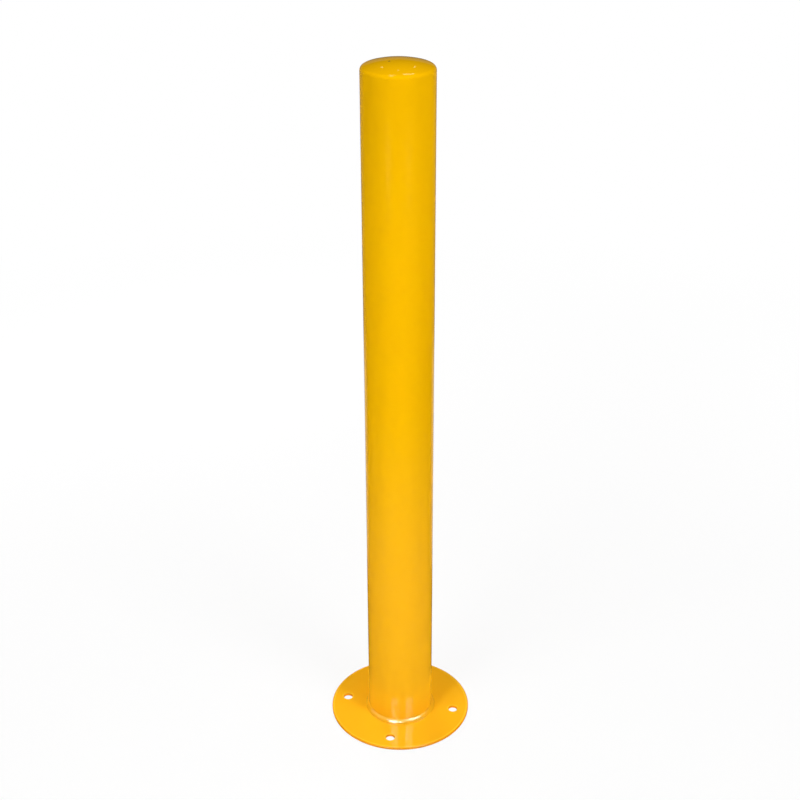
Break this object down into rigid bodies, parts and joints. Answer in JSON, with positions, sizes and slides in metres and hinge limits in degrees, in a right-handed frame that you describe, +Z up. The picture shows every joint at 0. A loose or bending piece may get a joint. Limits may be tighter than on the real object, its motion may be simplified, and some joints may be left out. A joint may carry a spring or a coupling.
{
  "type": "safety bollard",
  "caption": "Round steel safety bollard: a tube with a shallow domed cap, welded upright on a round base plate that bolts to the floor.",
  "frame": {"origin": "centre of the base plate's underside, at floor level", "axes": "+Z up the post's axis; +X and +Y each through the centre of a bolt hole"},
  "size_m": [0.25, 0.25, 1.2],
  "materials": {
    "yellow_powder_coat": "high-gloss yellow powder coat on welded steel"
  },
  "bodies": {
    "root": {"base_plate": "yellow_powder_coat", "post_tube": "yellow_powder_coat", "domed_cap": "yellow_powder_coat", "cap_weld": "yellow_powder_coat", "foot_weld": "yellow_powder_coat"}
  },
  "joints": []
}
